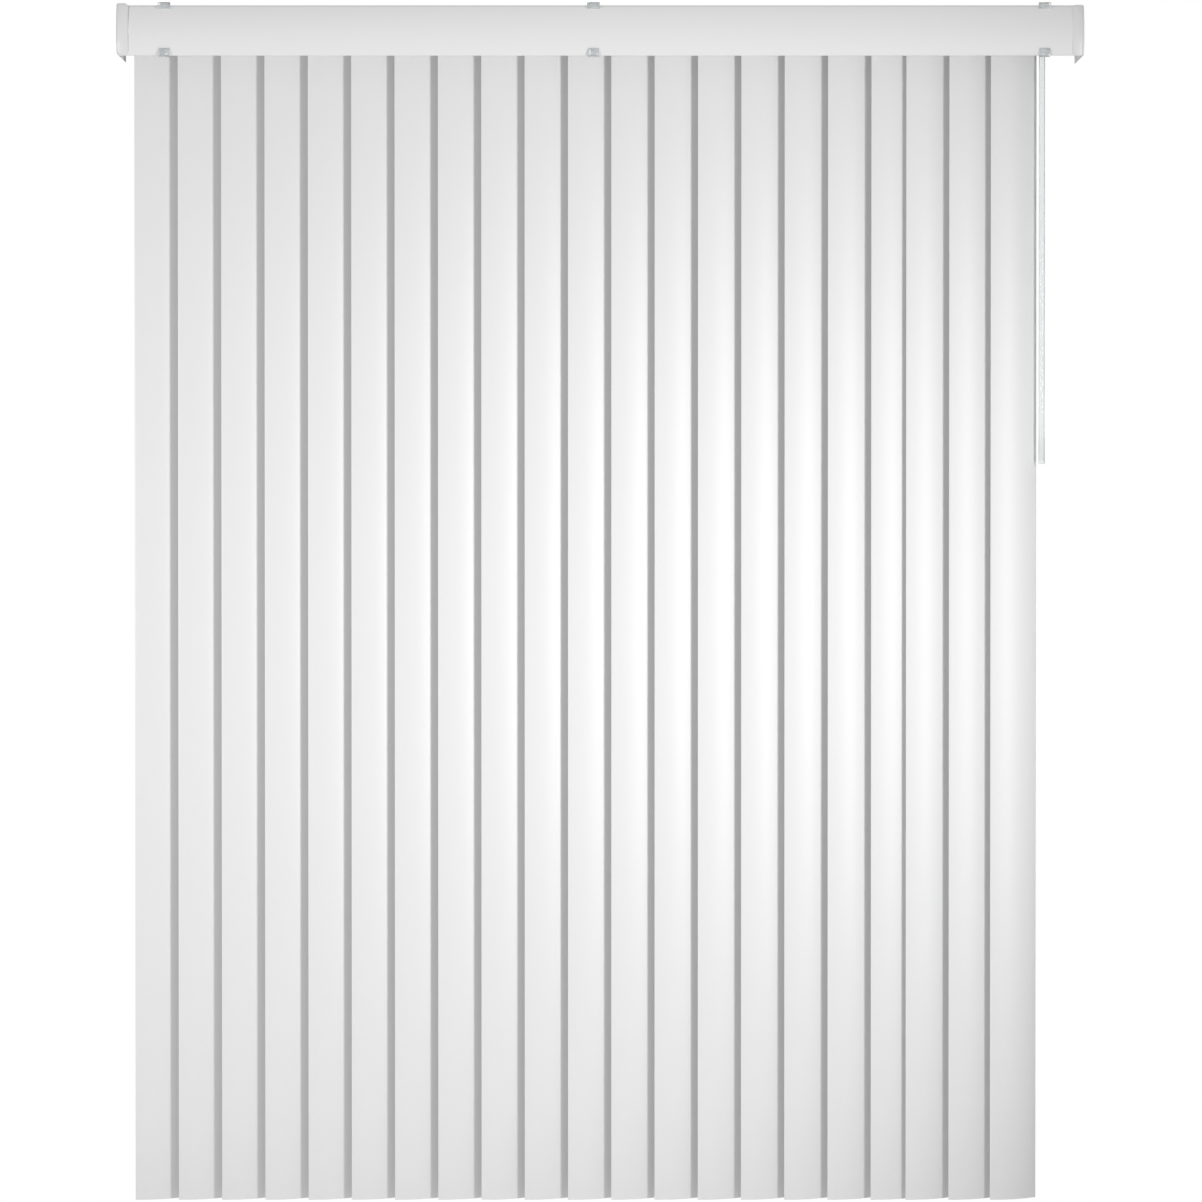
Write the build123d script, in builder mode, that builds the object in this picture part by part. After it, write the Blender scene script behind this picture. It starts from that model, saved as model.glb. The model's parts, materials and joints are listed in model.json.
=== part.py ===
from build123d import *
import os
from math import asin, cos, degrees, radians, sin, sqrt

# A vertical blind with a clip-on valance, drawn and tilted by one wand.  Sizes are in mm.
# +X runs to the right along the headrail, +Y goes away from the room towards the window,
# and +Z is up.  The origin is at the middle of the headrail, in the plane of the ceiling
# that its brackets are screwed to.

# ---- the whole blind ----
headrail_length = 1676.4        # 66 in
drop = 2133.6                   # 84 in, ceiling to the bottom of the vanes
vane_count = 21

# ---- headrail, a channel open along its underside ----
rail_width = 50.0
rail_height = 34.5
rail_wall = 1.5
rail_slot = 16.0                # the gap between its two bottom lips
screw_recess = 6.0              # depth from the top edges to the web, room for screw heads
snap_rib = 1.2                  # how far the outer ribs stand out, and what clips hook under
snap_rib_depth = 10.0           # top edge of the headrail to the top of the rib

# ---- mounting brackets ----
bracket_thickness = 1.5
bracket_width = 24.0
bracket_leg = 1.2
bracket_from_end = 178.2        # end of the headrail to the middle of the outer bracket
bracket_count = 4
screw_hole = 5.2
snap_gap = 0.1                  # play of everything that snaps on the headrail

# ---- headrail end caps ----
cap_plate = 3.0
cap_plug = 8.0                  # how far a cap reaches into the headrail
cap_fit = 0.1
cap_edge_round = 2.0

# ---- tilt rod ----
rod_diameter = 6.0
rod_flutes = 3
rod_flute_radius = 1.2
rod_offset = -12.0              # in front of the vane axes, on the room side
rod_bearing_gap = 0.05
rod_end_gap = 0.4
rod_bearing_depth = 4.2
rod_tunnel_gap = 0.45

# ---- carriers ----
carrier_length = 22.0           # along the headrail; the stack closes up to this and a gap
carrier_side_gap = 0.7
carrier_glide_gap = 0.3
carrier_top_gap = 0.8
carrier_chamfer = 1.0
neck_width = 14.8
neck_length = 14.0
neck_drop = 3.5                 # how far a neck reaches below the headrail
stem_diameter = 5.0
stem_fit = 0.05
pinion_diameter = 11.0
pinion_height = 7.0
pinion_teeth = 12
tooth_depth = 1.2
tooth_gap_width = 1.8           # at the tips
tooth_gap_angle = 75.0
chamber_gap = 0.6
worm_chamber_length = 12.0

# ---- spacer links between the carriers ----
link_thickness = 0.8
link_height = 6.0
link_layers = 4                 # neighbouring links lie side by side in this many layers
link_layer_pitch = 1.7
link_play = 0.2
link_lug = 2.0
link_lug_rise = 1.3
link_lug_gap = 0.5              # over the lug
link_root = 8.0
link_root_end = 5.0             # the root ends this far past its carrier's middle
link_drop = 6.7                 # carrier top to the middle of the links
link_wall = 1.6
catch_from_middle = 2.0
catch_gap = 0.3

# ---- where the carriers stand along the headrail ----
first_axis = 50.0               # left end of the headrail to the first vane's axis
last_axis = 95.3                # last vane's axis to the right end of the headrail
leading_slack = (15.0, 0.6, 3.3)    # how far the last links are pushed in, in order

# ---- vanes and their hooks ----
vane_width = 88.9               # 3.5 in, across the curve
vane_bow = 7.5
vane_thickness = 0.75
vane_top_gap = 6.5              # neck to the top edge of the vane
vane_angle = 17.0               # from the plane of the blind, closed
hook_slot_width = 14.0
hook_slot_height = 4.0
hook_slot_depth = 8.0           # top edge of the vane to the middle of the slot
hook_gap = 0.3
leaf_width = 9.0
leaf_thickness = 1.4
leaf_below_slot = 6.0
hook_block = 5.0
hook_block_round = 1.0
peg_width = 5.0
peg_height = 2.8
neck_gap = 0.5                  # between a neck and what turns under it

# ---- wand and its drive ----
wand_diameter = 10.8
wand_flutes = 8
wand_flute_radius = 1.5
wand_flute_depth = 0.6
wand_length = 762.0             # 30 in, hook to tip
wand_past_vane = 3.55           # the wand's axis past half a vane's width
drive_gear_diameter = 15.8
drive_gear_length = 8.0
drive_gear_teeth = 14
drive_gear_gap = 0.2
truck_past_wand = 14.0          # wand axis to the right end of the leading carrier
flange_diameter = 9.2
flange_height = 1.5
hook_wire = 2.4
hook_half_width = 3.6
hook_root = 3.0                 # stem's axis to the middle of the hook's fixed leg
hook_corner = 2.0
hook_drop = 10.5                # flange to the middle of the hook's bottom run
hook_mouth = 3.5                # between the open end of the hook and the flange
eye_gap = 0.1
tongue_thickness = 3.0
tongue_width = 7.6
tongue_length = 6.5             # hook to the shoulder of the wand
wand_tip_length = 4.0
wand_tip_swell = 0.4
wand_tip_round = 1.6

# ---- valance, its corners, returns and clips ----
valance_overhang = 18.25        # past each end of the headrail
valance_height = 88.9
valance_bow = 7.0
valance_thickness = 1.2
valance_room = 9.55             # edge of an open vane to the valance's top and bottom edges
valance_drop = 4.5              # ceiling to the top of the valance
bead_diameter = 2.6             # the rolled top and bottom edges
corner_width = 20.5
corner_thickness = 1.2
corner_side = 24.0
corner_round = 7.0
corner_gap = 0.1
corner_lift_left = 2.5          # the left corner is pushed on a little high
return_length = 88.9
return_thickness = 1.2
return_setback = 1.0            # behind the valance's top and bottom edges
return_gap = 0.4                # short of the valance's height, at the top and the bottom
return_round = 3.0
clip_from_left_end = 66.2       # ends of the headrail to the outer clips
clip_from_right_end = 51.2
clip_middle = -12.0
clip_thickness = 1.4
clip_arm_width = 13.0
clip_top_lip_width = 22.0
clip_bottom_lip_width = 19.0
clip_top_lip = 11.5
clip_bottom_lip = 12.5
clip_gap = 0.3

# ---- worked out from the sizes above ----
half_rail = headrail_length / 2
bracket_spacing = 2 * (half_rail - bracket_from_end) / (bracket_count - 1)
rail_top = -bracket_thickness
rail_bottom = rail_top - rail_height
web_bottom = rail_top - screw_recess - rail_wall
lip_top = rail_bottom + rail_wall
rail_inside = rail_width / 2 - rail_wall
rib_top = rail_top - snap_rib_depth
rib_bottom = rib_top - rail_wall

carrier_bottom = lip_top + carrier_glide_gap
carrier_top = web_bottom - carrier_top_gap
carrier_half = rail_inside - carrier_side_gap
neck_bottom = rail_bottom - neck_drop
rod_z = (carrier_top + carrier_bottom) / 2

link_reach = (headrail_length - first_axis - last_axis + sum(leading_slack)) / (vane_count - 1)

link_z = carrier_top - link_drop
link_window_low = link_z - link_height / 2 - link_play
link_window_high = link_z + link_height / 2 + link_lug_rise + link_lug_gap
link_window_width = link_layers * link_layer_pitch
link_window_front = carrier_half - link_wall - link_window_width

vane_top = neck_bottom - vane_top_gap
vane_radius = ((vane_width / 2) ** 2 + vane_bow ** 2) / (2 * vane_bow)
vane_half_angle = degrees(asin(vane_width / 2 / vane_radius))
hook_slot_z = vane_top - hook_slot_depth

wand_from_lead_axis = vane_width / 2 + wand_past_vane
wand_y = rod_offset + drive_gear_diameter + drive_gear_gap
wand_pivot_z = neck_bottom - neck_gap - flange_height - hook_drop

valance_width = headrail_length + 2 * valance_overhang
valance_edge = vane_width / 2 + valance_room

valance_top = -valance_drop
valance_bottom = valance_top - valance_height
valance_middle = (valance_top + valance_bottom) / 2
valance_radius = ((valance_height / 2) ** 2 + valance_bow ** 2) / (2 * valance_bow)
valance_half_angle = degrees(asin(valance_height / 2 / valance_radius))
bead_y = -valance_edge + (bead_diameter - valance_thickness) / 2
clip_positions = (clip_from_left_end - half_rail, clip_middle, half_rail - clip_from_right_end)


def axis_positions():
    """The X of each vane's axis, from the left."""
    free_links = vane_count - 1 - len(leading_slack)
    places = [first_axis - half_rail]
    for slack in (0.0,) * free_links + leading_slack:
        places.append(places[-1] + link_reach - slack)
    return places


def save(builder, node):
    """Label a finished piece and write its STEP file."""
    builder.part.label = node
    export_step(builder.part, f"parts/{node}.step")


def block(x0, x1, y0, y1, z0, z1, mode=Mode.ADD):
    """A box between two corners, added to or cut from the part being built."""
    with Locations(((x0 + x1) / 2, (y0 + y1) / 2, (z0 + z1) / 2)):
        Box(x1 - x0, y1 - y0, z1 - z0, mode=mode)


def valance_arc(offset=0.0, lift=0.0):
    """The valance's middle line in the YZ plane, moved out of the bow by offset and up by lift."""
    centre_y = -valance_edge - valance_bow + valance_radius
    return CenterArc((centre_y, valance_middle + lift), valance_radius + offset,
                     180 - valance_half_angle, 2 * valance_half_angle)


def valance_front(z, offset=0.0):
    """The Y of the valance's middle line at height z, moved out of the bow by offset."""
    radius = valance_radius + offset
    return -valance_edge - valance_bow + valance_radius - sqrt(radius ** 2 - (z - valance_middle) ** 2)


def band(inner, outer, lift=0.0):
    """A face in the YZ plane between two lines that follow the valance's bow."""
    with BuildLine() as outline:
        inside = valance_arc(inner, lift)
        outside = valance_arc(outer, lift)
        Line(inside @ 0, outside @ 0)
        Line(inside @ 1, outside @ 1)
    make_face(outline.edges())


# ---- headrail and what holds it ----

def make_headrail():
    with BuildPart() as headrail:
        with BuildSketch(Plane.YZ):
            with Locations((0, (rail_top + rail_bottom) / 2)):
                Rectangle(rail_width, rail_height)
            with Locations((0, (web_bottom + lip_top) / 2)):
                Rectangle(2 * rail_inside, web_bottom - lip_top, mode=Mode.SUBTRACT)
            with Locations((0, rail_top - screw_recess / 2)):
                Rectangle(2 * rail_inside, screw_recess, mode=Mode.SUBTRACT)
            with Locations((0, (rail_bottom + lip_top) / 2)):
                Rectangle(rail_slot, rail_wall, mode=Mode.SUBTRACT)
            with Locations((0, (rib_top + rib_bottom) / 2)):
                Rectangle(rail_width + 2 * snap_rib, rib_top - rib_bottom)
            with Locations((0, (rib_top + rib_bottom) / 2)):
                Rectangle(2 * rail_inside, rib_top - rib_bottom, mode=Mode.SUBTRACT)
        extrude(amount=headrail_length / 2, both=True)
    save(headrail, "headrail")


def snap_legs(sides, half_width, centre_x, thickness):
    """Legs that run down the headrail's sides and hook under its ribs."""
    leg_inner = rail_width / 2 + snap_rib + snap_gap
    foot_top = rib_bottom - snap_gap
    for side in sides:
        inner, outer = side * leg_inner, side * (leg_inner + thickness)
        toe = side * (rail_width / 2 + snap_gap)
        block(centre_x - half_width, centre_x + half_width, min(inner, outer), max(inner, outer),
              foot_top - thickness, rail_top + bracket_thickness)
        block(centre_x - half_width, centre_x + half_width, min(toe, outer), max(toe, outer),
              foot_top - thickness, foot_top)


def make_brackets():
    half_plate = rail_width / 2 + snap_rib + snap_gap + bracket_leg
    with BuildPart() as brackets:
        for number in range(bracket_count):
            x = (number - (bracket_count - 1) / 2) * bracket_spacing
            block(x - bracket_width / 2, x + bracket_width / 2, -half_plate, half_plate, rail_top, 0)
            snap_legs((-1, 1), bracket_width / 2, x, bracket_leg)
            with Locations((x, 0, 0)):
                Hole(screw_hole / 2, depth=bracket_thickness)
    save(brackets, "mounting_brackets")


def make_end_cap(side, node):
    """side is -1 for the left cap and 1 for the right one."""
    inner_x = side * (half_rail - cap_plug)
    plate_x = side * (half_rail + cap_plate)
    rod_stop = side * (half_rail - cap_plug + rod_bearing_depth)
    with BuildPart() as cap:
        block(min(side * half_rail, plate_x), max(side * half_rail, plate_x),
              -rail_width / 2, rail_width / 2, rail_bottom, rail_top)
        with BuildSketch(Plane.YZ.offset(side * half_rail)):
            with Locations((0, (web_bottom + lip_top) / 2)):
                Rectangle(2 * (rail_inside - cap_fit), web_bottom - lip_top - 2 * cap_fit)
        extrude(amount=-side * cap_plug)
        with BuildSketch(Plane.YZ.offset(inner_x)):
            with Locations((rod_offset, rod_z)):
                Circle(rod_diameter / 2 + rod_bearing_gap)
        extrude(amount=rod_stop - inner_x, mode=Mode.SUBTRACT)
        outer_edges = cap.edges().filter_by(Axis.X).group_by(Axis.X)[0 if side < 0 else -1]
        fillet(outer_edges, radius=cap_edge_round)
    save(cap, node)


def make_tilt_rod():
    half_length = half_rail - cap_plug + rod_bearing_depth - rod_end_gap
    with BuildPart() as rod:
        with BuildSketch(Plane.YZ):
            with Locations((rod_offset, rod_z)):
                Circle(rod_diameter / 2)
                with PolarLocations(rod_diameter / 2 + rod_flute_radius / 2, rod_flutes):
                    Circle(rod_flute_radius, mode=Mode.SUBTRACT)
        extrude(amount=half_length, both=True)
    save(rod, "tilt_rod")


# ---- carriers ----

def tooth_outline(diameter, teeth):
    """A spur outline, tips on the diameter, in the sketch being built."""
    with BuildSketch(mode=Mode.PRIVATE) as gap:
        with Locations((diameter / 2, 0)):
            Trapezoid(tooth_gap_width, 2 * tooth_depth, tooth_gap_angle, rotation=90)
    Circle(diameter / 2)
    with PolarLocations(0, teeth):
        add(gap.sketch, mode=Mode.SUBTRACT)


def cut_stem_chamber(x, y, diameter, height):
    """Room for a gear on an upright stem, and the stem's bearing down through the neck."""
    with Locations((x, y, rod_z)):
        Cylinder(diameter / 2 + chamber_gap, height + 2 * chamber_gap, mode=Mode.SUBTRACT)
    with Locations((x, y, (rod_z + neck_bottom) / 2)):
        Cylinder(stem_diameter / 2 + stem_fit, rod_z - neck_bottom, mode=Mode.SUBTRACT)


def cut_rod_chamber(x, length, diameter):
    """Room around the tilt rod for a gear that slides on it."""
    with BuildSketch(Plane.YZ.offset(x - length / 2)) as section:
        with Locations((rod_offset, rod_z)):
            Circle(diameter / 2 + chamber_gap)
    extrude(section.sketch, amount=length, mode=Mode.SUBTRACT)


def neck(x, length):
    block(x - length / 2, x + length / 2, -neck_width / 2, neck_width / 2, neck_bottom, carrier_bottom)


def link_layer_y(number):
    """The Y of the middle of a link's layer."""
    return link_window_front + link_layer_pitch * (number % link_layers + 0.5)


def make_link(number, x):
    """The strip that a carrier pulls its left neighbour along with, as a solid of its own."""
    y = link_layer_y(number)
    far_end = x - link_reach - catch_from_middle - catch_gap - link_lug
    front, back = y - link_thickness / 2, y + link_thickness / 2
    with BuildPart() as link:
        block(far_end, x + link_root_end, front, back, link_z - link_height / 2, link_z + link_height / 2)
        block(far_end, far_end + link_lug, front, back, link_z, link_z + link_height / 2 + link_lug_rise)
        block(x + link_root_end - link_root, x + link_root_end, front, back,
              link_window_low, link_window_high)
    return link.part


def make_carrier(number, x):
    left, right = x - carrier_length / 2, x + carrier_length / 2
    leads = number == vane_count
    wand_x = x + wand_from_lead_axis
    worm_diameter = 2 * abs(rod_offset) - pinion_diameter
    if leads:
        right = wand_x + truck_past_wand
    with BuildPart() as housing:
        block(left, right, -carrier_half, carrier_half, carrier_bottom, carrier_top)
        chamfer(housing.edges().filter_by(Axis.X), length=carrier_chamfer)
        neck(x, neck_length)
        cut_stem_chamber(x, 0, pinion_diameter, pinion_height)
        cut_rod_chamber((left + right) / 2, right - left, rod_diameter + 2 * rod_tunnel_gap - 2 * chamber_gap)
        cut_rod_chamber(x, worm_chamber_length, worm_diameter)
        block(left, x + link_root_end if leads else right,
              link_window_front, link_window_front + link_window_width,
              link_window_low, link_window_high, mode=Mode.SUBTRACT)
        if not leads:
            catch_y = link_layer_y(number + 1)
            block(x - catch_from_middle, right,
                  catch_y - link_layer_pitch / 2, catch_y + link_layer_pitch / 2,
                  link_z + link_height / 2 + link_play, link_window_high)
        else:
            neck(wand_x, neck_length)
            cut_stem_chamber(wand_x, wand_y, drive_gear_diameter, drive_gear_length)
            cut_rod_chamber(wand_x, drive_gear_length + 2 * chamber_gap, drive_gear_diameter)
    pieces = [housing.part]
    if number > 1:
        pieces.append(make_link(number, x))
    node = f"carrier_{number:02d}"
    carrier = Compound(children=pieces, label=node)
    export_step(carrier, f"parts/{node}.step")


# ---- vanes ----

def make_vane(number, x):
    """A curved strip and the hook that it hangs from, both turned to the closed angle."""
    turned = Plane(origin=(x, 0, 0), x_dir=(cos(radians(vane_angle)), sin(radians(vane_angle)), 0),
                   z_dir=(0, 0, 1))
    half = vane_thickness / 2
    with BuildPart() as vane:
        with BuildSketch(turned.offset(-drop)):
            with BuildLine():
                inner = CenterArc((0, vane_radius), vane_radius - half,
                                  270 - vane_half_angle, 2 * vane_half_angle)
                outer = CenterArc((0, vane_radius), vane_radius + half,
                                  270 - vane_half_angle, 2 * vane_half_angle)
                Line(inner @ 0, outer @ 0)
                Line(inner @ 1, outer @ 1)
            make_face()
        extrude(amount=drop + vane_top)
        with BuildSketch(turned.offset(hook_slot_z - hook_slot_height / 2)):
            Rectangle(hook_slot_width, 2 * vane_bow)
        extrude(amount=hook_slot_height, mode=Mode.SUBTRACT)

    space = vane_thickness + 2 * hook_gap
    leaf_bottom = hook_slot_z - hook_slot_height / 2 - leaf_below_slot
    block_top = neck_bottom - neck_gap
    peg_top = hook_slot_z + hook_slot_height / 2 - hook_gap
    with BuildPart() as hook:
        with BuildSketch(turned.offset(rod_z - pinion_height / 2)):
            tooth_outline(pinion_diameter, pinion_teeth)
        extrude(amount=pinion_height)
        with BuildSketch(turned.offset(block_top - hook_block)):
            Circle(stem_diameter / 2)
        extrude(amount=rod_z - block_top + hook_block)
        with BuildSketch(turned.offset(block_top - hook_block)):
            RectangleRounded(leaf_width, space + 2 * leaf_thickness, hook_block_round)
        extrude(amount=hook_block)
        with BuildSketch(turned.offset(leaf_bottom)):
            with Locations((0, -(space + leaf_thickness) / 2), (0, (space + leaf_thickness) / 2)):
                Rectangle(leaf_width, leaf_thickness)
        extrude(amount=block_top - hook_block - leaf_bottom)
        with BuildSketch(turned.offset(peg_top - peg_height)):
            with Locations((0, -hook_gap / 2)):
                Rectangle(peg_width, space - hook_gap)
        extrude(amount=peg_height)
    node = f"vane_{number:02d}"
    hung = Compound(children=[vane.part, hook.part], label=node)
    export_step(hung, f"parts/{node}.step")


# ---- wand and its drive ----

def make_drive_gear(x):
    with BuildPart() as gear:
        with BuildSketch(Plane.YZ.offset(x - drive_gear_length / 2)):
            with Locations((rod_offset, rod_z)):
                tooth_outline(drive_gear_diameter, drive_gear_teeth)
                Circle(rod_diameter / 2 + rod_bearing_gap, mode=Mode.SUBTRACT)
        extrude(amount=drive_gear_length)
    save(gear, "drive_gear")


def make_wand_stem(x):
    flange_top = neck_bottom - neck_gap
    flange_bottom = flange_top - flange_height
    with BuildPart() as stem:
        with BuildSketch(Plane.XY.offset(rod_z - drive_gear_length / 2)):
            with Locations((x, wand_y)):
                tooth_outline(drive_gear_diameter, drive_gear_teeth)
        extrude(amount=drive_gear_length)
        with BuildSketch(Plane.XY.offset(flange_top)):
            with Locations((x, wand_y)):
                Circle(stem_diameter / 2)
        extrude(amount=rod_z - flange_top)
        with BuildSketch(Plane.XY.offset(flange_bottom)):
            with Locations((x, wand_y)):
                Circle(flange_diameter / 2)
        extrude(amount=flange_height)
        hook_plane = Plane(origin=(x, wand_y, flange_bottom), x_dir=(1, 0, 0), z_dir=(0, -1, 0))
        with BuildLine(hook_plane) as hook_path:
            FilletPolyline((-hook_root, flange_height / 2),
                           (-hook_root, -hook_drop),
                           (hook_half_width, -hook_drop),
                           (hook_half_width, -hook_mouth), radius=hook_corner)
        with BuildSketch(Plane(origin=hook_path.line @ 0, z_dir=hook_path.line % 0)):
            Circle(hook_wire / 2)
        sweep()
    save(stem, "wand_stem")


def make_wand(x):
    shoulder = wand_pivot_z - tongue_length
    tip = wand_pivot_z - wand_length
    with BuildPart() as wand:
        with BuildSketch(Plane.XY.offset(tip)):
            with Locations((x, wand_y)):
                Circle(wand_diameter / 2)
                with PolarLocations(wand_diameter / 2 + wand_flute_radius - wand_flute_depth, wand_flutes):
                    Circle(wand_flute_radius, mode=Mode.SUBTRACT)
        extrude(amount=shoulder - tip)
        with BuildSketch(Plane.YZ.offset(x - tongue_thickness / 2)):
            with Locations((wand_y, (wand_pivot_z + shoulder) / 2)):
                Rectangle(tongue_width, wand_pivot_z - shoulder)
            with Locations((wand_y, wand_pivot_z)):
                Circle(tongue_width / 2)
                Circle(hook_wire / 2 + eye_gap, mode=Mode.SUBTRACT)
        extrude(amount=tongue_thickness)
        with Locations((x, wand_y, tip)):
            Cylinder(wand_diameter / 2 + wand_tip_swell, wand_tip_length,
                     align=(Align.CENTER, Align.CENTER, Align.MIN))
        fillet(wand.edges().group_by(Axis.Z)[0], radius=wand_tip_round)
    save(wand, "wand")


# ---- valance ----

def make_valance():
    half_length = valance_width / 2 - 2 * corner_thickness - return_thickness
    with BuildPart() as valance:
        with BuildSketch(Plane.YZ):
            band(-valance_thickness / 2, valance_thickness / 2)
            with Locations((bead_y, valance_top - bead_diameter / 2),
                           (bead_y, valance_bottom + bead_diameter / 2)):
                Circle(bead_diameter / 2)
        extrude(amount=half_length, both=True)
    save(valance, "valance")


def make_corner(side, lift, node):
    """A moulded corner over one end of the valance; side is -1 on the left."""
    outside = side * valance_width / 2
    inside = outside - side * corner_width
    lift_room = abs(lift) * sin(radians(valance_half_angle))
    face_inner = valance_thickness / 2 + corner_gap + lift_room
    face_outer = face_inner + corner_thickness
    side_back = -valance_edge + corner_side
    with BuildPart() as corner:
        with BuildSketch(Plane.YZ.offset(outside)):
            band(face_inner, face_outer, lift)
        extrude(amount=-side * corner_width)
        with BuildSketch(Plane.XZ):
            with Locations(((outside + inside) / 2 + side * corner_round, valance_middle + lift)):
                RectangleRounded(corner_width + 2 * corner_round, valance_height + face_outer, corner_round)
        extrude(amount=2 * valance_edge, mode=Mode.INTERSECT)
        with BuildSketch(Plane.YZ.offset(outside)):
            with BuildLine():
                front = valance_arc(face_outer, lift)
                Polyline(front @ 1, (side_back, (front @ 1).Y), (side_back, (front @ 0).Y), front @ 0)
            make_face()
        extrude(amount=-side * corner_thickness)
    save(corner, node)


def make_return(side, lift, node):
    """The short board from a corner back towards the wall."""
    outer = side * (valance_width / 2 - corner_thickness - corner_gap)
    inner = outer - side * return_thickness
    front = -valance_edge + return_setback
    with BuildPart() as board:
        block(min(inner, outer), max(inner, outer), front, front + return_length,
              valance_bottom + lift + return_gap, valance_top + lift - return_gap)
        fillet(board.edges().filter_by(Axis.X).group_by(Axis.Y)[-1], radius=return_round)
    save(board, node)


def make_clip(x, node):
    """Clear clip: grips the headrail's front rib and hooks over the valance's two edges."""
    strip_front = bead_y + bead_diameter / 2 + clip_gap
    strip_back = strip_front + clip_thickness
    lip_back = valance_front(valance_bottom + clip_bottom_lip, valance_thickness / 2) - clip_gap
    lip_front = lip_back - clip_thickness
    floor_top = valance_bottom - clip_gap
    floor_bottom = floor_top - clip_thickness
    grip_front = -rail_inside + snap_gap
    half_arm, half_top, half_bottom = clip_arm_width / 2, clip_top_lip_width / 2, clip_bottom_lip_width / 2
    with BuildPart() as clip:
        block(x - half_arm, x + half_arm, lip_front, grip_front + clip_thickness, rail_top, 0)
        block(x - half_arm, x + half_arm, grip_front, grip_front + clip_thickness,
              rail_top - screw_recess / 2, rail_top)
        snap_legs((-1,), half_arm, x, clip_thickness)
        block(x - half_arm, x + half_arm, strip_front, strip_back, floor_bottom, 0)
        block(x - half_top, x + half_top, lip_front, lip_back, -clip_top_lip, 0)
        block(x - half_bottom, x + half_bottom, lip_front, strip_back, floor_bottom, floor_top)
        block(x - half_bottom, x + half_bottom, lip_front, lip_back,
              floor_bottom, valance_bottom + clip_bottom_lip)
    save(clip, node)


# ---- build it all ----

axes = axis_positions()
wand_x = axes[-1] + wand_from_lead_axis

os.makedirs("parts", exist_ok=True)
make_headrail()
make_brackets()
make_end_cap(-1, "headrail_end_cap_left")
make_end_cap(1, "headrail_end_cap_right")
make_tilt_rod()
for index, axis_x in enumerate(axes):
    make_carrier(index + 1, axis_x)
    make_vane(index + 1, axis_x)
make_drive_gear(wand_x)
make_wand_stem(wand_x)
make_wand(wand_x)
make_valance()
make_corner(-1, corner_lift_left, "valance_corner_left")
make_corner(1, 0.0, "valance_corner_right")
make_return(-1, corner_lift_left, "valance_return_left")
make_return(1, 0.0, "valance_return_right")
for clip_x, side_name in zip(clip_positions, ("left", "centre", "right")):
    make_clip(clip_x, f"valance_clip_{side_name}")
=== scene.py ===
import json
from math import asin, cos, pi, radians, sin, sqrt

import bmesh
import bpy
from mathutils import Matrix, Vector

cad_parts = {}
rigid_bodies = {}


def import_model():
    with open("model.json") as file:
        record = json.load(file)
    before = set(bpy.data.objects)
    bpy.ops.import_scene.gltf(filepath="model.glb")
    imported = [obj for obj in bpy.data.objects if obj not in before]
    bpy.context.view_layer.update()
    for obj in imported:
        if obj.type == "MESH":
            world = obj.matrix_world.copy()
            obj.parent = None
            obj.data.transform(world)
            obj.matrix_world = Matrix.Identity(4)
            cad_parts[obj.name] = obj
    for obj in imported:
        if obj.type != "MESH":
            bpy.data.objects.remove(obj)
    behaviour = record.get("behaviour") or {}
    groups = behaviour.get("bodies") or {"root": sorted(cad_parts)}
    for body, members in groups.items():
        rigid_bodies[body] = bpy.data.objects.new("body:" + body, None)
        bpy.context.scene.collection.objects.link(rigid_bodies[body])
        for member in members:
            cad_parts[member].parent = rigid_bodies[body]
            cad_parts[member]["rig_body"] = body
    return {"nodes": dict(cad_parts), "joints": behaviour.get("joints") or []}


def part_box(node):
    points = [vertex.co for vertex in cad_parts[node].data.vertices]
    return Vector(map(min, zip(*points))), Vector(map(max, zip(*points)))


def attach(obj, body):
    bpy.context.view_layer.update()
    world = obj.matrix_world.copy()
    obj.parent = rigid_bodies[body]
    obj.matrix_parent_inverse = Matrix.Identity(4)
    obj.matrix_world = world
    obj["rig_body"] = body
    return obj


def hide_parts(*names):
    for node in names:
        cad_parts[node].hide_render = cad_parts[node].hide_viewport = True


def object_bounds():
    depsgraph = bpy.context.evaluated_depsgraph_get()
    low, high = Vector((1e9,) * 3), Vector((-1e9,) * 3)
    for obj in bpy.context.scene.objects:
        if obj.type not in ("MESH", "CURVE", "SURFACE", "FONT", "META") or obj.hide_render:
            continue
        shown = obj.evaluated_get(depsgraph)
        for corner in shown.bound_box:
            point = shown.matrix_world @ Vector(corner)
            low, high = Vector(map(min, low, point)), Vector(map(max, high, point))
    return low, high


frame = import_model()
cad_low, cad_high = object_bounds()

# Lengths are in metres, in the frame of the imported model: +X right along the headrail,
# +Y away from the room, +Z up, the ceiling at Z = 0.
MM = 0.001
JOINTS = {joint["child"]: joint for joint in frame["joints"]}

# ---- sizes of the sections, as in the CAD ----
VANE_COUNT = 21
VANE_WIDTH = 88.9 * MM
VANE_BOW = 7.5 * MM
VANE_THICKNESS = 0.75 * MM
VANE_ANGLE = radians(17.0)
VANE_TOP_BELOW_NECK = 6.5 * MM
SLOT_BELOW_TOP = 8.0 * MM
SLOT_WIDTH = 14.0 * MM
SLOT_HEIGHT = 4.0 * MM
HOOK_GAP = 0.3 * MM
HOOK_NECK_GAP = 0.5 * MM
HOOK_BLOCK = 5.0 * MM
HOOK_STEM = 2.5 * MM                # radius
HOOK_STEM_RISE = 12.0 * MM          # how far the stem reaches up into the carrier
LEAF_WIDTH = 9.0 * MM
LEAF_THICKNESS = 1.4 * MM
LEAF_BELOW_SLOT = 6.0 * MM
PEG_WIDTH = 5.0 * MM
PEG_HEIGHT = 2.8 * MM
VALANCE_HEIGHT = 88.9 * MM
VALANCE_BOW = 7.0 * MM
VALANCE_THICKNESS = 1.2 * MM
VALANCE_BEAD = 2.6 * MM
CORNER_THICKNESS = 1.2 * MM
WAND_TONGUE = 3.0 * MM
WAND_TONGUE_WIDTH = 7.6 * MM
WAND_TONGUE_LENGTH = 6.5 * MM
WAND_EYE = 2.6 * MM
WAND_FLUTES = 8

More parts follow.
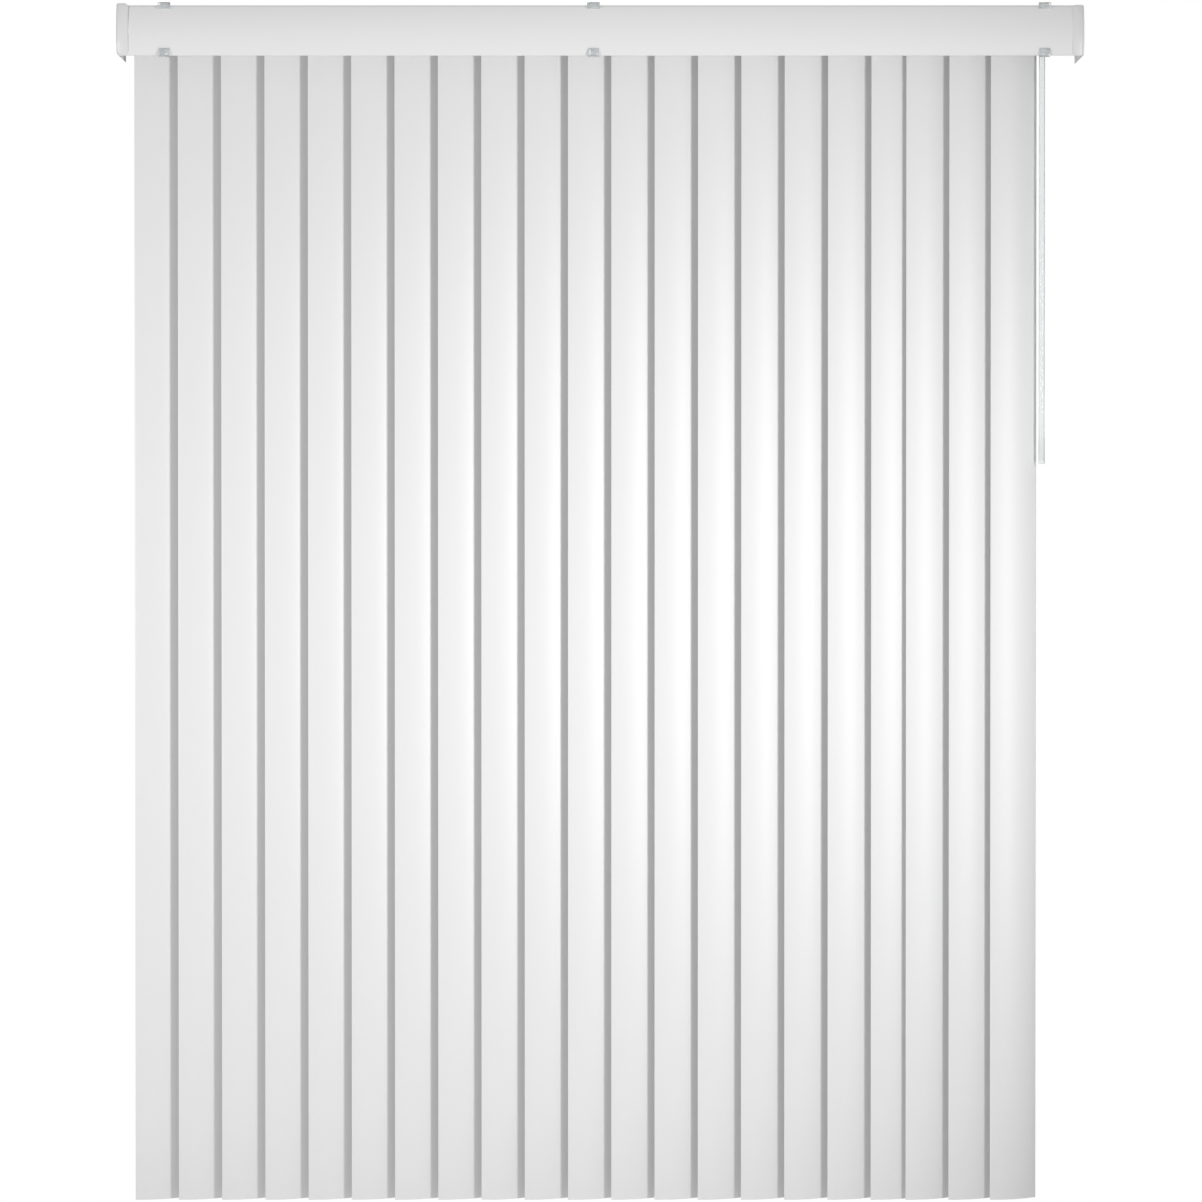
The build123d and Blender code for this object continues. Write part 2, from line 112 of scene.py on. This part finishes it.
# ---- details that the CAD leaves out ----
CORNER_ROUND = 7.0 * MM             # the two inner corners of its face
CORNER_EDGE_SHARE = 0.6             # of the way to the groove is taken by the round outer edge
CORNER_SHOULDER = 3.0 * MM          # the outer corners, seen from the front
GROOVE_WIDTH = 1.3 * MM             # the line just inside the corner's outer edge
GROOVE_DEPTH = 1.0 * MM
GROOVE_LEFT = 0.7 * MM              # from the outer edge to the groove
GROOVE_RIGHT = 2.2 * MM
WAND_NECK = 3.2 * MM                # radii, from the top of the wand down
WAND_TOP = 5.6 * MM
WAND_BOTTOM = 5.3 * MM
WAND_BELOW_COLLAR = 0.97            # the fluted part's radius, as a share of the plain collar's
WAND_SHOULDER = 0.93                # the collar's rounded top, as a share of its radius
WAND_FLUTE_DEPTH = 0.07             # of the radius
TIP_FLUTE_DEPTH = 0.3               # of the flutes' own depth, on the cap at the tip

# ---- soft edges that cutting, moulding and pressing leave ----
CUT_EDGE = 0.16 * MM
CORNER_FINE_EDGE = 0.25 * MM
THIN_EDGE = 0.3 * MM
HOOK_EDGE = 0.35 * MM
CLIP_EDGE = 0.4 * MM
CAP_EDGE = 0.5 * MM

SAME_POINT = 1e-6                   # points nearer than this are one point
SAME_CAD_POINT = 2e-6
NO_LENGTH = 1e-7                    # edges shorter than this are dropped
FLAT_ANGLE = 0.6                    # degrees: flatter joins of the CAD's triangles are one face


# ------------------------------------------------------------------ small tools

def linear(hex_colour):
    """An sRGB hex colour as linear RGBA."""
    channels = [int(hex_colour[i:i + 2], 16) / 255 for i in (1, 3, 5)]
    straight = [c / 12.92 if c <= 0.04045 else ((c + 0.055) / 1.055) ** 2.4 for c in channels]
    return tuple(straight) + (1.0,)


def add_node(tree, kind, settings=None, inputs=None):
    """Adds a node; its inputs are values, or (node, output name) pairs to link from."""
    node = tree.nodes.new(kind)
    for name, value in (settings or {}).items():
        setattr(node, name, value)
    for name, value in (inputs or {}).items():
        if isinstance(value, tuple) and len(value) == 2 and hasattr(value[0], "outputs"):
            tree.links.new(value[0].outputs[value[1]], node.inputs[name])
        else:
            node.inputs[name].default_value = value
    return node


def new_material(name, constants):
    """A material with its output and its Principled shader, which takes the constants."""
    material = bpy.data.materials.new(name)
    material.use_nodes = True
    tree = material.node_tree
    tree.nodes.clear()
    shader = add_node(tree, "ShaderNodeBsdfPrincipled", inputs=constants)
    add_node(tree, "ShaderNodeOutputMaterial", inputs={"Surface": (shader, "BSDF")})
    return material, tree, shader


def object_grain(tree, scale, stretch=None, detail=2.0):
    """Noise in the object's own metres: scale, and stretch by axis, count its grains to the metre."""
    place = add_node(tree, "ShaderNodeTexCoord")
    vector = (place, "Object")
    if stretch:
        along = add_node(tree, "ShaderNodeMapping", inputs={"Vector": vector, "Scale": stretch})
        vector = (along, "Vector")
    return add_node(tree, "ShaderNodeTexNoise", inputs={
        "Vector": vector, "Scale": scale, "Detail": detail})


def tint_by(tree, shader, noise, dark, light):
    """Base colour between two linear colours, by a noise."""
    tint = add_node(tree, "ShaderNodeMix", {"data_type": "RGBA"}, {
        "Factor": (noise, "Fac"), "A": dark, "B": light})
    tree.links.new(tint.outputs["Result"], shader.inputs["Base Color"])


def roughness_by(tree, shader, noise, low, high):
    """Roughness between two values, by a noise."""
    shine = add_node(tree, "ShaderNodeMapRange", inputs={
        "Value": (noise, "Fac"), "To Min": low, "To Max": high})
    tree.links.new(shine.outputs["Result"], shader.inputs["Roughness"])


def relief_by(tree, shader, noise, strength, depth):
    """Fine relief of a noise."""
    bump = add_node(tree, "ShaderNodeBump", inputs={
        "Height": (noise, "Fac"), "Strength": strength, "Distance": depth})
    tree.links.new(bump.outputs["Normal"], shader.inputs["Normal"])


def link_object(name, data):
    """An object of a mesh, light or camera, in the scene."""
    piece = bpy.data.objects.new(name, data)
    bpy.context.scene.collection.objects.link(piece)
    return piece


def mesh_object(name, vertices, faces, material, smooth_angle=35.0):
    """A mesh object with merged points, outward faces and smooth shading up to an angle."""
    mesh = bpy.data.meshes.new(name)
    mesh.from_pydata([tuple(v) for v in vertices], [], faces)
    bm = bmesh.new()
    bm.from_mesh(mesh)
    bmesh.ops.remove_doubles(bm, verts=bm.verts, dist=SAME_POINT)
    bmesh.ops.dissolve_degenerate(bm, edges=bm.edges, dist=NO_LENGTH)
    bmesh.ops.recalc_face_normals(bm, faces=bm.faces)
    bm.to_mesh(mesh)
    bm.free()
    mesh.shade_smooth()
    mesh.set_sharp_from_angle(angle=radians(smooth_angle))
    mesh.materials.append(material)
    return link_object(name, mesh)


def apply_modifiers(piece):
    """Bakes the piece's modifiers into its mesh."""
    bpy.context.view_layer.update()
    depsgraph = bpy.context.evaluated_depsgraph_get()
    mesh = bpy.data.meshes.new_from_object(piece.evaluated_get(depsgraph), depsgraph=depsgraph)
    old = piece.data
    piece.modifiers.clear()
    piece.data = mesh
    bpy.data.meshes.remove(old)


def round_edges(piece, width, angle=30.0):
    """Rounds the edges that turn by more than an angle."""
    bevel = piece.modifiers.new("rounded", "BEVEL")
    bevel.width = width
    bevel.segments = 2
    bevel.limit_method = "ANGLE"
    bevel.angle_limit = radians(angle)
    bevel.use_clamp_overlap = True
    bevel.harden_normals = False
    apply_modifiers(piece)
    piece.data.shade_smooth()
    piece.data.set_sharp_from_angle(angle=radians(50.0))


def stands_for(piece, node):
    """The piece replaces a CAD node, which it hides, and rides on its body."""
    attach(piece, frame["nodes"][node]["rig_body"])
    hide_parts(node)


def moulded_copy(node, material, edge):
    """A CAD node again, with the soft edges that moulding or pressing leaves."""
    source = frame["nodes"][node].data
    bm = bmesh.new()
    bm.from_mesh(source)
    bmesh.ops.remove_doubles(bm, verts=bm.verts, dist=SAME_CAD_POINT)
    bmesh.ops.dissolve_limit(bm, angle_limit=radians(FLAT_ANGLE), verts=bm.verts, edges=bm.edges)
    mesh = bpy.data.meshes.new(node + "_rounded")
    bm.to_mesh(mesh)
    bm.free()
    mesh.materials.clear()
    mesh.materials.append(material)
    piece = link_object(node + "_rounded", mesh)
    round_edges(piece, edge)
    stands_for(piece, node)


def tube_faces(count, rings):
    """Faces of a closed tube of rings, each of the same count of points, with both its ends."""
    faces = []
    for ring in range(rings - 1):
        a, b = ring * count, (ring + 1) * count
        for i in range(count):
            j = (i + 1) % count
            faces.append((a + i, a + j, b + j, b + i))
    faces.append(tuple(range(count)))
    faces.append(tuple(range((rings - 1) * count, rings * count)))
    return faces


def swept(section, stations):
    """Points and faces of a closed section carried through stations, which each place a 2-D point."""
    points = []
    for place in stations:
        points += [place(u, v) for u, v in section]
    return points, tube_faces(len(section), len(stations))


# ------------------------------------------------------------------ materials

def extruded_pvc(name, colour, roughness):
    """Rigid white PVC, extruded: a soft satin sheen with very faint draw lines along its length.

    The draw lines are 1.6 mm apart, drawn coarser than real ones, which would be lost in a view of
    the whole blind. The clouds are a third of a metre wide, and only just darker.
    """
    material, tree, shader = new_material(name, {"IOR": 1.53})
    across = 1 / (1.6 * MM)
    lines = object_grain(tree, 1.0, stretch=(across, across, 1.2))
    clouds = object_grain(tree, 3.0)
    full = linear(colour)
    shaded = tuple(c * 0.985 for c in full[:3]) + (1.0,)
    tint_by(tree, shader, clouds, shaded, full)
    roughness_by(tree, shader, lines, roughness - 0.04, roughness + 0.04)
    relief_by(tree, shader, lines, 0.12, 0.02 * MM)
    return material


def moulded_pvc():
    """Injection-moulded white PVC: glossier than the extrusions, with a fine orange peel.

    The peel is drawn coarser than real, at 1.1 mm. The flow marks are 25 mm wide.
    """
    material, tree, shader = new_material("moulded white PVC", {"Roughness": 0.33, "IOR": 1.53})
    peel = object_grain(tree, 900.0)
    flow = object_grain(tree, 40.0)
    tint_by(tree, shader, flow, linear("#f0f0f1"), linear("#f6f6f6"))
    relief_by(tree, shader, peel, 0.1, 0.05 * MM)
    return material


def clear_polycarbonate():
    """Clear polycarbonate: colourless, bright where it turns its edge, with streaks 8 mm wide."""
    material, tree, shader = new_material("moulded clear polycarbonate", {
        "Base Color": linear("#f2f5f6"), "Transmission Weight": 0.85, "IOR": 1.58})
    streak = object_grain(tree, 120.0)
    roughness_by(tree, shader, streak, 0.08, 0.16)
    return material


def enamelled_aluminium():
    """Aluminium extrusion, stove-enamelled white: smooth and a little glossy over fine die lines.

    The die lines run along X, drawn coarser than real, at 1.1 mm.
    """
    material, tree, shader = new_material("enamelled aluminium extrusion", {
        "Roughness": 0.36, "Coat Weight": 0.3, "Coat Roughness": 0.2})
    lines = object_grain(tree, 1.0, stretch=(1.5, 900.0, 900.0))
    tint_by(tree, shader, lines, linear("#e6e6e3"), linear("#ededeb"))
    relief_by(tree, shader, lines, 0.15, 0.03 * MM)
    return material


def drawn_metal(name, colour, lines_per_metre, roughness):
    """Bare metal with fine lines along the way it was drawn or rolled."""
    material, tree, shader = new_material(name, {"Base Color": linear(colour), "Metallic": 1.0})
    lines = object_grain(tree, 1.0, stretch=lines_per_metre, detail=3.0)
    roughness_by(tree, shader, lines, roughness - 0.08, roughness + 0.1)
    relief_by(tree, shader, lines, 0.2, 0.03 * MM)
    return material


def moulded_acetal():
    """Moulded natural acetal: milky, waxy and matt, with a grain drawn coarser than real, at 1.7 mm."""
    material, tree, shader = new_material("moulded natural acetal", {"Roughness": 0.45, "IOR": 1.48})
    grain = object_grain(tree, 600.0)
    tint_by(tree, shader, grain, linear("#dedcd4"), linear("#e6e4dd"))
    relief_by(tree, shader, grain, 0.15, 0.04 * MM)
    return material


VANE_PVC = extruded_pvc("extruded satin PVC of the vanes", "#f4f4f4", 0.42)
VALANCE_PVC = extruded_pvc("extruded satin PVC of the valance", "#f9f9f9", 0.38)
WHITE_MOULDING = moulded_pvc()
CLEAR = clear_polycarbonate()
ENAMEL = enamelled_aluminium()
# The rod's lines run along X, 0.4 mm apart, and the brackets' along Y, 0.7 mm apart. Both are
# drawn coarser than real.
ROD_METAL = drawn_metal("drawn aluminium rod", "#c9cacc", (2.0, 2500.0, 2500.0), 0.32)
ZINC = drawn_metal("zinc-plated spring steel", "#b4b6b9", (1500.0, 4.0, 1500.0), 0.34)
ACETAL = moulded_acetal()


# ------------------------------------------------------------------ vanes

vane_radius = ((VANE_WIDTH / 2) ** 2 + VANE_BOW ** 2) / (2 * VANE_BOW)
vane_half_angle = asin(VANE_WIDTH / 2 / vane_radius)
SLOT_ROW = 2                        # the row of points along the slot's top; its bottom is the next


def vane_columns():
    """Distances across the vane from its middle: fine around the slot, even elsewhere."""
    half_slot = SLOT_WIDTH / 2
    half_arc = vane_radius * vane_half_angle
    slot_end = [half_slot - SLOT_HEIGHT / 2 * (1 - sin(radians(a))) for a in (0, 30, 60, 90)]
    over_slot = [1.5 * MM, 3.2 * MM]
    right = over_slot + slot_end + [half_slot + 1.5 * MM, half_slot + 3.5 * MM]
    start, steps = right[-1], 9
    right += [start + (half_arc - start) * k / steps for k in range(1, steps + 1)]
    return [-u for u in reversed(right)] + [0.0] + right


def slot_half_height(u):
    """Half the slot's height at a distance across the vane.

    Past the slot's ends the two rows of points part again, so that no face there is a sliver.
    """
    radius = SLOT_HEIGHT / 2
    past = abs(u) - (SLOT_WIDTH / 2 - radius)
    if past <= 0:
        return radius
    if past < radius:
        return sqrt(max(radius ** 2 - past ** 2, 0.0))
    parting = (past - radius) * 0.5
    return min(parting, radius * 0.8)


def vane_rows(top, bottom):
    """Functions of the distance across, one for each row of points down the vane."""
    slot = top - SLOT_BELOW_TOP
    rows = [lambda u: top,
            lambda u: (top + slot + SLOT_HEIGHT) / 2,
            lambda u: slot + slot_half_height(u),
            lambda u: slot - slot_half_height(u)]
    below = slot - SLOT_HEIGHT
    lengths = 12
    for k in range(lengths + 1):
        height = below + (bottom - below) * k / lengths
        rows.append(lambda u, z=height: z)
    return rows


def make_vane(number):
    """One bowed vane, a thin sheet with its punched slot, and the hook that it hangs on."""
    body = f"vane_{number:02d}"
    axis = Vector(JOINTS[body]["pos_m"])
    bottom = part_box(body)[0].z
    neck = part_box(f"carrier_{number:02d}")[0].z
    top = neck - VANE_TOP_BELOW_NECK
    turn = Matrix.Rotation(VANE_ANGLE, 3, "Z")
    columns, rows = vane_columns(), vane_rows(top, bottom)
    points, faces = [], []
    half = VANE_THICKNESS / 2
    for side in (-half, half):
        for row in rows:
            for u in columns:
                angle = u / vane_radius
                radius = vane_radius - side
                local = Vector((radius * sin(angle), vane_radius - radius * cos(angle), 0))
                spot = turn @ local
                points.append((axis.x + spot.x, axis.y + spot.y, row(u)))
    across, down = len(columns), len(rows)
    layer = across * down

    def in_slot(c):
        return max(abs(columns[c]), abs(columns[c + 1])) <= SLOT_WIDTH / 2 + NO_LENGTH

    for r in range(down - 1):
        for c in range(across - 1):
            if r == SLOT_ROW and in_slot(c):
                continue
            a = r * across + c
            b, d, e = a + 1, a + across + 1, a + across
            faces.append((a, b, d, e))
            faces.append((layer + a, layer + e, layer + d, layer + b))
    for r in range(down - 1):
        for c in (0, across - 1):
            a = r * across + c
            b = a + across
            faces.append((a, b, layer + b, layer + a))
    for c in range(across - 1):
        edge_rows = [0, down - 1]
        if in_slot(c):
            edge_rows += [SLOT_ROW, SLOT_ROW + 1]
        for r in edge_rows:
            a = r * across + c
            b = a + 1
            faces.append((a, b, layer + b, layer + a))
    sheet = mesh_object(f"{body}_sheet", points, faces, VANE_PVC)
    round_edges(sheet, CUT_EDGE, angle=40)
    stands_for(sheet, body)
    make_hook(body, axis, neck, turn)


def make_hook(body, axis, neck, turn):
    """The moulded hook of a vane: stem, block, two leaves and the peg through the slot."""
    slot = neck - VANE_TOP_BELOW_NECK - SLOT_BELOW_TOP
    block_top = neck - HOOK_NECK_GAP
    block_bottom = block_top - HOOK_BLOCK
    leaf_bottom = slot - SLOT_HEIGHT / 2 - LEAF_BELOW_SLOT
    peg_top = slot + SLOT_HEIGHT / 2 - HOOK_GAP
    inner = VANE_THICKNESS / 2 + HOOK_GAP
    outer = inner + LEAF_THICKNESS
    half_leaf, half_peg = LEAF_WIDTH / 2, PEG_WIDTH / 2
    bm = bmesh.new()

    def bar(x0, x1, y0, y1, z0, z1):
        for v in bmesh.ops.create_cube(bm, size=1.0)["verts"]:
            v.co.x = x0 if v.co.x < 0 else x1
            v.co.y = y0 if v.co.y < 0 else y1
            v.co.z = z0 if v.co.z < 0 else z1

    bar(-half_leaf, half_leaf, -outer, outer, block_bottom, block_top)
    bar(-half_leaf, half_leaf, -outer, -inner, leaf_bottom, block_bottom)
    bar(-half_leaf, half_leaf, inner, outer, leaf_bottom, block_bottom)
    bar(-half_peg, half_peg, -inner, inner - HOOK_GAP, peg_top - PEG_HEIGHT, peg_top)
    stem_top = neck + HOOK_STEM_RISE
    stem = bmesh.ops.create_cone(
        bm, cap_ends=True, segments=28, radius1=HOOK_STEM, radius2=HOOK_STEM, depth=stem_top - block_top)
    for v in stem["verts"]:
        v.co.z += (stem_top + block_top) / 2
    for v in bm.verts:
        spot = turn @ Vector((v.co.x, v.co.y, 0))
        v.co = Vector((axis.x + spot.x, axis.y + spot.y, v.co.z))
    bmesh.ops.recalc_face_normals(bm, faces=bm.faces)
    mesh = bpy.data.meshes.new(f"{body}_hook")
    bm.to_mesh(mesh)
    bm.free()
    mesh.materials.append(ACETAL)
    hook = link_object(f"{body}_hook", mesh)
    round_edges(hook, HOOK_EDGE)
    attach(hook, body)


# ------------------------------------------------------------------ valance

def valance_curve():
    """The bow that valance and corners share: its centre's Y, and its middle Z and radius."""
    low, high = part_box("valance")
    radius = ((VALANCE_HEIGHT / 2) ** 2 + VALANCE_BOW ** 2) / (2 * VALANCE_BOW)
    return low.y + VALANCE_THICKNESS / 2 + radius, (low.z + high.z) / 2, radius


def valance_section():
    """Closed outline in Y and Z: a thin bowed strip whose top and bottom edges are rolled back."""
    centre_y, middle, radius = valance_curve()
    bead = VALANCE_BEAD / 2
    bead_y = centre_y - radius + VALANCE_BOW + bead - VALANCE_THICKNESS / 2
    outside = asin((VALANCE_HEIGHT / 2 - bead) / radius)
    inside = asin((VALANCE_HEIGHT / 2 - 2 * bead) / radius)
    steps, bead_steps = 28, 12
    bead_turn = 250                 # degrees that each edge is rolled through
    outline = []
    # Up the outer face and round the top bead, then down the inner face and round the bottom one.
    for reach, turned, offset, first in ((-outside, 1, 0.5, 170), (inside, -1, -0.5, 80)):
        r = radius + offset * VALANCE_THICKNESS
        for k in range(steps + 1):
            a = reach - 2 * reach * k / steps
            outline.append((centre_y - r * cos(a), middle + r * sin(a)))
        bead_z = middle + turned * (VALANCE_HEIGHT / 2 - bead)
        for k in range(1, bead_steps):
            a = radians(first - bead_turn * k / bead_steps)
            outline.append((bead_y + bead * cos(a), bead_z + bead * sin(a)))
    return outline


def make_valance():
    """The long strip, its section carried from end to end."""
    low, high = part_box("valance")
    stations = []
    steps = 24
    for k in range(steps + 1):
        x = low.x + (high.x - low.x) * k / steps
        stations.append(lambda y, z, x=x: (x, y, z))
    points, faces = swept(valance_section(), stations)
    strip = mesh_object("valance_strip", points, faces, VALANCE_PVC)
    stands_for(strip, "valance")


def rounding(distance, radius):
    """How far a rounded corner has pulled in, at a distance from the end that it rounds."""
    if distance >= radius:
        return 0.0
    return radius - sqrt(radius ** 2 - (radius - distance) ** 2)


def corner_section(groove_outer):
    """The corner's section as steps from its inner or outer end, and depths behind its face.

    It runs along the face, into the groove and out, round the outer edge, back along the side
    (where the depth is None), and home inside.
    """
    near, far = groove_outer + GROOVE_WIDTH, groove_outer
    edge = CORNER_EDGE_SHARE * groove_outer
    turns = [radians(a) for a in range(0, 91, 15)]
    section = [("in", 0.0, 0.0), ("out", near, 0.0), ("out", near, GROOVE_DEPTH),
               ("out", far, GROOVE_DEPTH), ("out", far, 0.0)]
    section += [("out", edge * (1 - sin(a)), edge * (1 - cos(a))) for a in turns]
    section += [("out", 0.0, None), ("out", CORNER_THICKNESS, None),
                ("out", CORNER_THICKNESS, CORNER_THICKNESS), ("in", 0.0, CORNER_THICKNESS)]
    return section


def make_corner(name, side, groove_outer):
    """One moulded corner, a bowed face and a flat side; side is -1 at the left and 1 at the right."""
    low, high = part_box(name)
    centre_y = valance_curve()[0]
    middle = (low.z + high.z) / 2
    outside = low.x if side < 0 else high.x
    inside = high.x if side < 0 else low.x
    face_radius = centre_y - low.y
    height = high.z - low.z
    # Rings of points, in millimetres from either end: close together where the ends are round.
    from_end = [0, 0.15, 0.5, 1.0, 1.8, 3.0, 4.6, 7.0, 12.0, 20.0, 30.0]
    drops = [h * MM for h in from_end] + [height - h * MM for h in reversed(from_end)]
    section = corner_section(groove_outer)
    points = []
    for drop in drops:
        z = high.z - drop
        end = min(drop, height - drop)
        front = centre_y - sqrt(face_radius ** 2 - (z - middle) ** 2)
        inner_x = inside + side * rounding(end, CORNER_ROUND)
        outer_x = outside - side * rounding(end, CORNER_SHOULDER)
        for start, step, depth in section:
            x = inner_x if start == "in" else outer_x - side * step
            y = high.y if depth is None else front + depth
            points.append((x, y, z))
    faces = tube_faces(len(section), len(drops))
    corner = mesh_object(name + "_moulding", points, faces, WHITE_MOULDING, 40)
    round_edges(corner, CORNER_FINE_EDGE, angle=50)
    stands_for(corner, name)


# ------------------------------------------------------------------ wand

def make_wand():
    """The fluted rod, from its rounded shoulder and plain collar down to the cap at its tip."""
    low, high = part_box("wand")
    pivot = JOINTS["wand"]["pos_m"][2]
    centre = ((low.x + high.x) / 2, (low.y + high.y) / 2)
    shoulder = pivot - WAND_TONGUE_LENGTH
    count = WAND_FLUTES * 8
    turns = [2 * pi * k / count for k in range(count)]
    section = [(a, 1.0 - WAND_FLUTE_DEPTH * (0.5 - 0.5 * cos(a * WAND_FLUTES)) ** 2) for a in turns]

    def ring(radius, z, fluted=1.0):
        return lambda a, r: (centre[0] + radius * (1 - (1 - r) * fluted) * cos(a),
                             centre[1] + radius * (1 - (1 - r) * fluted) * sin(a), z)

    fluted_top = WAND_TOP * WAND_BELOW_COLLAR
    tip_radius = (high.x - low.x) / 2
    stations = [ring(WAND_NECK, shoulder, 0),
                ring(WAND_TOP * WAND_SHOULDER, shoulder - 0.4 * MM, 0),
                ring(WAND_TOP, shoulder - 1.5 * MM, 0),
                ring(WAND_TOP, shoulder - 14 * MM, 0),
                ring(fluted_top, shoulder - 15 * MM)]
    body_top, body_bottom = shoulder - 16 * MM, low.z + 6 * MM
    steps = 12
    for k in range(steps + 1):
        t = k / steps
        radius = fluted_top + (WAND_BOTTOM - fluted_top) * t
        stations.append(ring(radius, body_top + (body_bottom - body_top) * t))
    for share, height in ((1.0, 5.0), (1.0, 1.6), (0.9, 0.4), (0.6, 0.0)):
        stations.append(ring(tip_radius * share, low.z + height * MM, TIP_FLUTE_DEPTH))
    points, faces = swept(section, stations)
    rod = mesh_object("wand_rod", points, faces, CLEAR, 40)
    stands_for(rod, "wand")
    make_wand_eye(centre, pivot, shoulder)


def make_wand_eye(centre, pivot, shoulder):
    """The flat tongue at the wand's top, with the hole that the hook passes through."""
    half, width, hole = WAND_TONGUE / 2, WAND_TONGUE_WIDTH / 2, WAND_EYE / 2
    steps = 32
    turns = [2 * pi * (k + 0.5) / steps for k in range(steps)]

    def outline(a):
        """Distance from the eye to the tongue's edge: round above the eye, square below it."""
        if sin(a) >= 0:
            return width
        return min(width / abs(cos(a)), (pivot - shoulder) / abs(sin(a)))

    points, faces = [], []
    for x in (-half, half):
        for reach in (outline, lambda a: hole):
            for a in turns:
                points.append((centre[0] + x, centre[1] + reach(a) * cos(a), pivot + reach(a) * sin(a)))
    ring = 2 * steps
    for k in range(steps):
        j = (k + 1) % steps
        faces.append((k, j, steps + j, steps + k))
        faces.append((ring + k, ring + steps + k, ring + steps + j, ring + j))
        faces.append((k, ring + k, ring + j, j))
        faces.append((steps + k, steps + j, ring + steps + j, ring + steps + k))
    eye = mesh_object("wand_eye", points, faces, CLEAR, 40)
    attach(eye, "wand")


# ------------------------------------------------------------------ build the object

def finish_node(node, material):
    """The CAD's own piece, as it is, in its real material."""
    for mesh_slot in frame["nodes"][node].material_slots:
        mesh_slot.link = "OBJECT"
        mesh_slot.material = material


for number in range(1, VANE_COUNT + 1):
    make_vane(number)
make_valance()
make_corner("valance_corner_left", -1, GROOVE_LEFT)
make_corner("valance_corner_right", 1, GROOVE_RIGHT)
make_wand()
for side in ("left", "right"):
    moulded_copy(f"valance_return_{side}", VALANCE_PVC, THIN_EDGE)
    moulded_copy(f"headrail_end_cap_{side}", WHITE_MOULDING, CAP_EDGE)
for side in ("left", "centre", "right"):
    moulded_copy(f"valance_clip_{side}", CLEAR, CLIP_EDGE)
moulded_copy("mounting_brackets", ZINC, THIN_EDGE)
moulded_copy("wand_stem", CLEAR, THIN_EDGE)
for number in range(1, VANE_COUNT + 1):
    moulded_copy(f"carrier_{number:02d}", ACETAL, THIN_EDGE)
finish_node("headrail", ENAMEL)
finish_node("tilt_rod", ROD_METAL)
finish_node("drive_gear", ACETAL)


# ------------------------------------------------------------------ studio

CAMERA_PLACE = (0.00124, -5.5, -1.0145)
CAMERA_PITCH = radians(0.475)
FOCAL_SHARE = 3069.7 / 1202         # the focal length, as a share of the frame's width
SENSOR = 36.0                       # millimetres
AIM_HEIGHT = -1.05                  # the lights point at half the blind's height
FLOOR_DROP = 0.16                   # the floor, below the vanes
FLOOR_SIDE = 3.5
FLOOR_BACK = 0.6


def make_camera():
    """Straight ahead of the blind, a little above its middle and pitched down a little."""
    data = bpy.data.cameras.new("camera")
    data.sensor_width = SENSOR
    data.lens = SENSOR * FOCAL_SHARE
    data.clip_end = 50
    camera = link_object("camera", data)
    camera.location = CAMERA_PLACE
    camera.rotation_euler = (pi / 2 - CAMERA_PITCH, 0, 0)
    bpy.context.scene.camera = camera


def softbox(name, location, width, height, power, spread=106.0, aim=0.0):
    """A softbox aimed at an X of the blind; its grid keeps its light within the spread."""
    data = bpy.data.lights.new(name, "AREA")
    data.shape = "RECTANGLE"
    data.size = width
    data.size_y = height
    data.energy = power
    data.spread = radians(spread)
    light = link_object(name, data)
    light.location = location
    direction = Vector((aim, 0, AIM_HEIGHT)) - Vector(location)
    light.rotation_euler = direction.to_track_quat("-Z", "Y").to_euler()


def make_world(ambient):
    """Even white surroundings: full white where they are seen, and less of it as light."""
    white = (1.0, 1.0, 1.0, 1.0)
    world = bpy.data.worlds.new("studio")
    bpy.context.scene.world = world
    world.use_nodes = True
    tree = world.node_tree
    tree.nodes.clear()
    seen = add_node(tree, "ShaderNodeBackground", inputs={"Color": white, "Strength": 1.0})
    cast = add_node(tree, "ShaderNodeBackground", inputs={"Color": white, "Strength": ambient})
    path = add_node(tree, "ShaderNodeLightPath")
    through = add_node(tree, "ShaderNodeMath", {"operation": "MAXIMUM"})
    tree.links.new(path.outputs["Is Camera Ray"], through.inputs[0])
    tree.links.new(path.outputs["Is Transmission Ray"], through.inputs[1])
    mix = add_node(tree, "ShaderNodeMixShader", inputs={"Fac": (through, "Value")})
    tree.links.new(cast.outputs["Background"], mix.inputs[1])
    tree.links.new(seen.outputs["Background"], mix.inputs[2])
    add_node(tree, "ShaderNodeOutputWorld", inputs={"Surface": (mix, "Shader")})


def make_floor():
    """A plain pale floor under the hanging blind, faintly clouded in half metres."""
    material, tree, shader = new_material("pale studio floor", {"Roughness": 0.9})
    tint_by(tree, shader, object_grain(tree, 2.0), linear("#f2f2f2"), linear("#f5f5f5"))
    height = cad_low.z - FLOOR_DROP
    corners = [(-FLOOR_SIDE, -FLOOR_SIDE, height), (FLOOR_SIDE, -FLOOR_SIDE, height),
               (FLOOR_SIDE, FLOOR_BACK, height), (-FLOOR_SIDE, FLOOR_BACK, height)]
    mesh_object("floor", corners, [(0, 1, 2, 3)], material)


make_camera()
softbox("key softbox", (1.7, -1.8, -1.0), 0.5, 1.5, 12.6, spread=100.0, aim=-0.95)
softbox("fill softbox", (-3.4, -3.6, -1.0), 0.8, 0.8, 25)
softbox("overhead softbox", (0.6, -2.6, 1.6), 1.4, 1.4, 1.5, spread=140.0)
make_world(0.32)
make_floor()
bpy.context.scene.view_settings.view_transform = "Standard"
